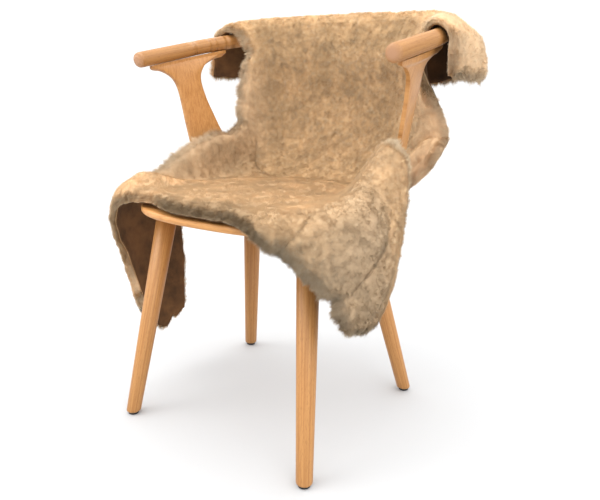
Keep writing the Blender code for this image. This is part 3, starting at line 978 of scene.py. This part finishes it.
def edge_distances(places):
    """Distance over the skin from each place to the four borders: left, right, first and last row."""
    across = np.linalg.norm(np.diff(places, axis=0), axis=-1)
    down = np.linalg.norm(np.diff(places, axis=1), axis=-1)
    left = np.vstack([np.zeros((1, places.shape[1])), np.cumsum(across, axis=0)])
    top = np.hstack([np.zeros((places.shape[0], 1)), np.cumsum(down, axis=1)])
    return left, left[-1] - left, top, top[:, -1:] - top


def outward_of(distance, places):
    """Directions over the skin in which a distance shrinks fastest."""
    across = np.gradient(places, axis=0)
    down = np.gradient(places, axis=1)
    fall_across = np.gradient(distance, axis=0) / np.maximum((across ** 2).sum(-1), 1e-9)
    fall_down = np.gradient(distance, axis=1) / np.maximum((down ** 2).sum(-1), 1e-9)
    return -unit(across * fall_across[..., None] + down * fall_down[..., None])


def cut_hems(name, places, hem, across_at, down_at):
    """Cut a pelt's free edges unevenly and put its nicks in."""
    pull = BAY_DEPTH * noise_at(places, BAY_SIZE, 5.0) * np.exp(-(hem / BAY_FADE) ** 2)
    for pelt, _, (line, knot), half_width, depth in NICKS:
        if pelt == name:
            column = np.abs(across_at - line).argmin()
            row = np.abs(down_at - knot).argmin()
            distance = np.linalg.norm(places - places[column, row], axis=-1)
            pull += depth * np.exp(-(distance / half_width) ** 2)
    return places - outward_of(hem, places) * pull[..., None]


def free_edge(places, sewn, upper):
    """Distances over the skin from each place to the nearest hem and to the seam."""
    left, right, first, last = edge_distances(places)
    free_row, seam_row = (first, last) if upper else (last, first)
    seam_free = np.where(sewn[:, None], FAR, seam_row)
    hem = np.minimum(np.minimum(left, right), np.minimum(free_row, seam_free))
    return hem, np.where(sewn[:, None], seam_row, FAR)


def lay_pelt(name, lines, across_steps, down_steps):
    """Lay a pelt's skin: its grid, creased and cut, and the distances to its hems and its seam."""
    rug = settings("rug")
    net = np.array([[point[:] for point in line] for line in lines])
    count, knots = net.shape[:2]
    across_at = net_positions([across_steps] * (count - 1))
    down_at = net_positions(down_steps)
    across_weights = spline_weights(count, across_at)
    places = np.einsum("il,jk,lkc->ijc", across_weights, spline_weights(knots, down_at), net)
    upper = name == "hide_upper"
    seam_at = across_at if upper else across_at - LOWER_SEAM_START
    sewn = (seam_at >= 0) & (seam_at <= SEAM_KNOTS - 1)
    wanted = seam_places(np.clip(seam_at, 0, SEAM_KNOTS - 1))
    if upper:
        near = np.clip(down_at - knots + 2, 0, None) ** 2
        shift = wanted - places[:, -1]
    else:
        near = np.clip(1 - down_at, 0, None) ** 2
        ahead = np.einsum("il,jk,lkc->ijc", across_weights, spline_weights(knots, [0.3]), net)[:, 0]
        shift = wanted + unit(ahead - places[:, 0]) * SEAM_GAP - places[:, 0]
    places = places + np.where(sewn[:, None], shift, 0)[:, None, :] * near[None, :, None]
    places = press_creases(name, places, across_at, down_at)

    hem, _ = free_edge(places, sewn, upper)
    places = cut_hems(name, places, hem, across_at, down_at)
    hem, seam = free_edge(places, sewn, upper)
    return SimpleNamespace(
        name=name, places=places, across_at=across_at, down_at=down_at, hem=hem, seam=seam, rug=rug
    )


def raise_wool(pelt):
    """The dense wool over a pelt: rounded down at the hems, shallow at the seam, uneven all over."""
    rug = pelt.rug
    normals = normals_of(pelt.places)
    hem_share = np.sqrt(1 - (1 - np.clip(pelt.hem / HEM_ROUND, 0, 1)) ** 2)
    seam_share = SEAM_PILE + (1 - SEAM_PILE) * np.sin(math.pi / 2 * np.clip(pelt.seam / SEAM_ROUND, 0, 1))
    depth = (rug.pile - rug.fibre_reach) * (HEM_PILE + (1 - HEM_PILE) * hem_share) * seam_share
    lumps = LUMP_DEPTH * noise_at(pelt.places, LUMP_SIZE, 3.0)
    tufts = TUFT_DEPTH * noise_at(pelt.places, TUFT_SIZE, 9.0)
    depth = np.maximum(depth * pelt.fullness + (lumps + tufts) * hem_share * seam_share, LEAST_DEPTH)
    pelt.depth = depth
    pelt.wool = pelt.places + normals * (rug.leather + depth)[..., None]
    pelt.wool_normals = normals_of(pelt.wool)
    pelt.seam_share = seam_share
    pelt.nap = unit(np.gradient(pelt.places, axis=1))
    pelt.cross_nap = unit(np.gradient(pelt.places, axis=0))
    pelt.outward = outward_of(pelt.hem, pelt.places)


def grid_mesh(name, places):
    """A bmesh grid laid on a grid of places, across by down."""
    columns, rows = places.shape[0] - 1, places.shape[1] - 1
    bm = bmesh.new()
    bmesh.ops.create_grid(bm, x_segments=columns, y_segments=rows, size=0.5)
    for vert in bm.verts:
        column = round((vert.co.x + 0.5) * columns)
        row = round((0.5 - vert.co.y) * rows)
        vert.co = places[column, row]
    for face in bm.faces:
        face.smooth = True
    return bm


def make_skin(pelt):
    """The skin: one thin sheet on the pelt's folds, its sueded side inwards."""
    bm = grid_mesh(pelt.name, pelt.places)
    mesh = bpy.data.meshes.new(pelt.name + "_skin")
    bm.to_mesh(mesh)
    bm.free()
    # where the suede gets painted shade, in the pocket behind the right arm
    pocket = mesh.attributes.new("pocket", "FLOAT", "POINT")
    pocket.data.foreach_set("value", pelt.pocket.T[::-1].astype(np.float32).ravel())
    piece = dress(pelt.name + "_skin", mesh, suede_material, [pelt.name])
    thickness = piece.modifiers.new("skin_thickness", "SOLIDIFY")
    thickness.thickness = pelt.rug.leather
    thickness.offset = 1.0
    return piece


def make_wool(pelt):
    """The dense wool: a closed mat between the skin and the fibre tips."""
    columns, rows = pelt.places.shape[0], pelt.places.shape[1]
    bm = grid_mesh(pelt.name, pelt.wool)
    under = pelt.places + normals_of(pelt.places) * (pelt.rug.leather + SKIN_CLEARANCE)
    lower = grid_mesh(pelt.name, under)
    below = bpy.data.meshes.new("below")
    lower.to_mesh(below)
    lower.free()
    above = len(bm.verts)
    bm.from_mesh(below)
    bpy.data.meshes.remove(below)
    bm.faces.ensure_lookup_table()
    half = (columns - 1) * (rows - 1)
    bmesh.ops.reverse_faces(bm, faces=bm.faces[half:])
    open_edges = [edge for edge in bm.edges if edge.is_boundary]
    bmesh.ops.bridge_loops(bm, edges=open_edges)
    bmesh.ops.recalc_face_normals(bm, faces=bm.faces[:])
    tip = bm.verts.layers.float.new("tip")
    strand = bm.verts.layers.float.new("strand")
    bm.verts.ensure_lookup_table()
    for index, vert in enumerate(bm.verts):
        vert[tip] = WOOL_TIP if index < above else 0.0
        vert[strand] = 0.5
    for face in bm.faces:
        face.smooth = True
    mesh = bpy.data.meshes.new(pelt.name + "_wool")
    bm.to_mesh(mesh)
    bm.free()
    for name, grid in (("grey", pelt.grey), ("tone", pelt.tone)):
        layer = mesh.attributes.new(name, "FLOAT", "POINT")
        layer.data.foreach_set("value", np.tile(grid.T[::-1].astype(np.float32).ravel(), 2))
    return dress(pelt.name + "_wool", mesh, wool_material, [pelt.name])


def comb_fibres(pelt, number, seed):
    """A piece of the fibres that stand out of the dense wool: pointed blades, joined into one mesh."""
    rug = pelt.rug
    count = rug.fibres
    dice = np.random.default_rng(seed)
    wool = pelt.wool
    area = np.linalg.norm(
        np.cross(wool[1:, 1:] - wool[:-1, :-1], wool[1:, :-1] - wool[:-1, 1:]), axis=-1
    ) / 2
    near_hem = np.clip(1 - pelt.hem[1:, 1:] / FRINGE, 0, 1)
    share = area * (1 + RIM_DENSITY * near_hem)
    cell = dice.choice(share.size, count, p=share.ravel() / share.sum())
    column, row = np.divmod(cell, area.shape[1])
    a, b = dice.random((2, count))

    def at(grid):
        """A grid's value at each fibre."""
        if grid.ndim == 3:
            u, v = a[:, None], b[:, None]
        else:
            u, v = a, b
        return (
            grid[column, row] * (1 - u) * (1 - v)
            + grid[column + 1, row] * u * (1 - v)
            + grid[column, row + 1] * (1 - u) * v
            + grid[column + 1, row + 1] * u * v
        )

    normal = unit(at(pelt.wool_normals))
    beside = np.clip((at(pelt.seam_share) - SEAM_PILE) / (1 - SEAM_PILE), 0, 1)[:, None]
    nap = unit(at(pelt.nap) * (0.3 + 0.7 * beside) + at(pelt.cross_nap) * 0.8 * (1 - beside))
    rim = np.clip(1 - at(pelt.hem) / FRINGE, 0, 1)[:, None]
    coarse = at(pelt.coarse)[:, None]
    root = at(wool) - normal * np.minimum(ROOT_DEPTH, at(pelt.depth) * ROOT_SHARE)[:, None]
    lock = lock_leans(root, rug.lock, 17)
    turn = lock_leans(root, rug.curl, 29)
    lean = np.radians(FIBRE_LEAN)
    tufts = 1 + TUFT_SHARE * noise_at(root, TUFT_SIZE, 23.0)[:, None]
    heading = unit(
        normal * np.cos(lean)
        + nap * np.sin(lean)
        + lock * (LOCK_PULL[0] + LOCK_PULL[1] * coarse)
        + turn * (CURL_PULL[0] + CURL_PULL[1] * coarse)
        + at(pelt.outward) * rim * RIM_PULL
        + dice.normal(0, STRAY, (count, 3))
    )
    side = unit(np.cross(heading, normal) + dice.normal(0, FIBRE_TWIST, (count, 3)))
    size = (rug.fibre_length * dice.uniform(*FIBRE_LENGTHS, count))[:, None]
    size = size * (1 + RIM_LENGTH * rim) * tufts
    half = rug.fibre_width / 2 * dice.uniform(*FIBRE_WIDTHS, count)[:, None]
    corners = np.stack([root - side * half, root + side * half, root + heading * size], axis=1)
    mesh = bpy.data.meshes.new(f"{pelt.name}_fibres_{number}")
    mesh.vertices.add(count * 3)
    mesh.vertices.foreach_set("co", corners.astype(np.float32).ravel())
    mesh.loops.add(count * 3)
    mesh.loops.foreach_set("vertex_index", np.arange(count * 3, dtype=np.int32))
    mesh.polygons.add(count)
    mesh.polygons.foreach_set("loop_start", np.arange(0, count * 3, 3, dtype=np.int32))
    mesh.polygons.foreach_set("use_smooth", np.ones(count, bool))
    for name, values in (
        ("tip", np.tile(np.array(FIBRE_TIPS), count)),
        ("strand", np.repeat(dice.random(count), 3)),
        ("grey", np.repeat(at(pelt.grey), 3)),
        ("tone", np.repeat(at(pelt.tone), 3)),
    ):
        layer = mesh.attributes.new(name, "FLOAT", "POINT")
        layer.data.foreach_set("value", values.astype(np.float32))
    mesh.update(calc_edges=True)
    # shaded nearly as the dense wool under them is
    soft = unit(normal * 0.85 + heading * 0.35 + dice.normal(0, STRAY, (count, 3)))
    mesh.normals_split_custom_set_from_vertices(np.repeat(soft, 3, axis=0))
    return dress(mesh.name, mesh, wool_material)


def rise(value, start, stop):
    """From 0 to 1 while a value goes from start to stop."""
    return np.clip((value - start) / (stop - start), 0, 1)


def vary_wool(pelt):
    """Where a pelt is coarse, grey or thin, and where painted shade and light make its wool darker or
    lighter, by lines and knots of its net.
    """
    lines = pelt.across_at[:, None]
    knots = pelt.down_at[None, :]
    if pelt.name == "hide_lower":
        flap = rise(lines, 8.6, 10.6) * rise(knots, 0.8, 1.8)
        low = rise(lines, 9.5, 10.5) * rise(knots, 1.2, 2.2)
        front = rise(lines, 4.0, 5.0) * rise(knots, 1.7, 3.0)
        left = rise(lines, 4.5, 3.5)
        pelt.coarse = flap
        pelt.grey = 0.20 + 0.40 * flap
        # painted shade where the seat's front turns down and low on the right flap; lighter on the left side
        pelt.tone = 0.92 + 0.12 * left - 0.23 * low - 0.34 * front * (1 - low)
        pelt.pocket = 0 * flap
        pelt.fullness = 1
    else:
        outer = rise(lines, 5.6, 6.6) * rise(knots, 2.5, 1.5)
        sides = rise(np.abs(lines - 3.6), 1.4, 3.4) * rise(knots, 6.5, 7.5)
        inner = rise(lines, 0.2, 1.8) * rise(lines, 6.8, 5.2)
        curtain_shade = rise(knots, 4.0, 6.0)
        rear = rise(lines, 6.6, 7.6) * rise(knots, 7.0, 8.0)
        hill = rise(lines, 2.6, 1.6) * rise(knots, 8.2, 9.2)
        over_rail = rise(knots, 1.5, 2.5) * rise(knots, 7.0, 6.0)
        pelt.coarse = 0.7 * outer
        pelt.grey = 0.5 * np.maximum(outer, sides)
        # painted shade on the curtain under the rail, darkest in its middle; lighter at the rear and darker
        # on the left hill
        pelt.tone = 1.08 - 0.30 * curtain_shade * inner + 0.14 * rear - 0.20 * hill * (1 - inner)
        # painted shade in the pocket behind the right arm
        pelt.pocket = rise(lines, 5.2, 6.2) * rise(knots, 5.5, 4.5)
        pelt.fullness = 1 - 0.38 * over_rail * rise(lines, 1.5, 4.5)
    pelt.tone = pelt.tone * (1 + SEAM_PALE * np.exp(-(pelt.seam / SEAM_ROUND) ** 2))


def make_pelt(name, lines, across_steps, down_steps, flat, area, seed):
    """A whole pelt: skin, wool and fibres."""
    pelt = lay_pelt(name, lines, across_steps, down_steps)
    vary_wool(pelt)
    raise_wool(pelt)
    skin = make_skin(pelt)
    wool = make_wool(pelt)
    fibres = [comb_fibres(pelt, number + 1, seed + number) for number in range(FIBRE_PIECES)]


# Operators

class SHEEPSKIN_OT_chair(bpy.types.Operator):
    """Build the oak chair and its glides"""

    bl_idname = "sheepskin.chair"
    bl_label = "Chair"

    def execute(self, context):
        make_seat()
        make_rail()
        make_support(-1)
        make_support(1)
        for leg in LEGS:
            make_leg(*leg)
            make_glide(*leg[:3])
        return {"FINISHED"}


class SHEEPSKIN_OT_upper_pelt(bpy.types.Operator):
    """Hang the upper pelt over the rail"""

    bl_idname = "sheepskin.upper_pelt"
    bl_label = "Upper pelt"

    def execute(self, context):
        lines = [upper_line(index) for index in range(len(RAIL_PASS))]
        steps = UPPER_ACROSS_STEPS, UPPER_DOWN_STEPS
        make_pelt("hide_upper", lines, *steps, flat=(0.70, 0.66), area=0.36, seed=11)
        return {"FINISHED"}


class SHEEPSKIN_OT_lower_pelt(bpy.types.Operator):
    """Lay the lower pelt across the seat"""

    bl_idname = "sheepskin.lower_pelt"
    bl_label = "Lower pelt"

    def execute(self, context):
        lines = [lower_line(index) for index in range(len(LOWER_FOLDS))]
        steps = LOWER_ACROSS_STEPS, LOWER_DOWN_STEPS
        make_pelt("hide_lower", lines, *steps, flat=(0.95, 0.33), area=0.25, seed=31)
        return {"FINISHED"}


class SHEEPSKIN_OT_stage(bpy.types.Operator):
    """Set the floor, the light and the camera"""

    bl_idname = "sheepskin.stage"
    bl_label = "Stage"

    def execute(self, context):
        stage = settings("stage")
        bm = bmesh.new()
        bmesh.ops.create_grid(bm, x_segments=1, y_segments=1, size=FLOOR_HALF)
        mesh = bpy.data.meshes.new("studio_floor")
        bm.to_mesh(mesh)
        bm.free()
        mesh.materials.append(floor_material())
        floor = bpy.data.objects.new("studio_floor", mesh)
        context.scene.collection.objects.link(floor)
        middle = chair_middle() + Vector((0, 0, AIM_HEIGHT))
        for (name, place, size), power in zip(LIGHTS, (stage.key, stage.fill)):
            light = bpy.data.lights.new(name, "AREA")
            light.shape = "DISK"
            light.size = size
            light.energy = power
            lamp = bpy.data.objects.new(name, light)
            lamp.location = middle + Vector(place)
            lamp.rotation_euler = (-Vector(place)).to_track_quat("-Z", "Y").to_euler()
            context.scene.collection.objects.link(lamp)
        world = bpy.data.worlds.new("even_white")
        world.use_nodes = True
        tree = world.node_tree
        direction = add_node(tree, "ShaderNodeTexCoord").outputs["Generated"]
        height = add_node(tree, "ShaderNodeSeparateXYZ", {"Vector": direction}).outputs["Z"]
        strength = spread(tree, height, stage.sky, stage.sky + stage.zenith)
        background = tree.nodes["Background"]
        background.inputs["Color"].default_value = (1, 1, 1, 1)
        tree.links.new(strength, background.inputs["Strength"])
        context.scene.world = world
        context.scene.view_settings.view_transform = "Standard"
        place_camera()
        return {"FINISHED"}


def place_camera():
    """The camera at the photograph's angle."""
    azimuth = math.radians(CAMERA_AZIMUTH)
    elevation = math.radians(CAMERA_ELEVATION)
    roll = math.radians(CAMERA_ROLL)
    away = Vector((math.sin(azimuth), -math.cos(azimuth), 0))
    back = away * math.cos(elevation) + Vector((0, 0, math.sin(elevation)))
    level = Vector((math.cos(azimuth), math.sin(azimuth), 0))
    upright = back.cross(level)
    right = math.cos(roll) * level + math.sin(roll) * upright
    up = -math.sin(roll) * level + math.cos(roll) * upright
    data = bpy.data.cameras.new("camera")
    data.sensor_width = CAMERA_SENSOR
    data.lens = CAMERA_LENS
    camera = bpy.data.objects.new("camera", data)
    turn = Matrix((right, up, back)).transposed().to_4x4()
    camera.matrix_world = Matrix.Translation(chair_middle() + Vector(CAMERA_PLACE)) @ turn
    bpy.context.scene.collection.objects.link(camera)
    bpy.context.scene.camera = camera


class SHEEPSKIN_PT_panel(bpy.types.Panel):
    """The rug's settings and its steps"""

    bl_idname = "SHEEPSKIN_PT_panel"
    bl_label = "Sheepskin"
    bl_space_type = "VIEW_3D"
    bl_region_type = "UI"
    bl_category = "Sheepskin"

    def draw(self, context):
        for kind in ("rug", "chair", "stage"):
            group = settings(kind)
            box = self.layout.box()
            for name in group.__annotations__:
                box.prop(group, name)
        for step in STEPS:
            self.layout.operator(step.bl_idname)


STEPS = (SHEEPSKIN_OT_chair, SHEEPSKIN_OT_upper_pelt, SHEEPSKIN_OT_lower_pelt, SHEEPSKIN_OT_stage)
GROUPS = {"rug": RugSettings, "chair": ChairSettings, "stage": StageSettings}


def register():
    """Register the settings, the steps and the panel."""
    for kind, group in GROUPS.items():
        bpy.utils.register_class(group)
        setattr(bpy.types.Scene, "sheepskin_" + kind, PointerProperty(type=group))
    for step in (*STEPS, SHEEPSKIN_PT_panel):
        bpy.utils.register_class(step)


def unregister():
    """Take back what register() added."""
    for step in (SHEEPSKIN_PT_panel, *reversed(STEPS)):
        bpy.utils.unregister_class(step)
    for kind, group in GROUPS.items():
        delattr(bpy.types.Scene, "sheepskin_" + kind)
        bpy.utils.unregister_class(group)


def main():
    """Build everything, in order."""
    register()
    bpy.ops.sheepskin.chair()
    bpy.ops.sheepskin.upper_pelt()
    bpy.ops.sheepskin.lower_pelt()
    bpy.ops.sheepskin.stage()


if __name__ == "__main__":
    main()
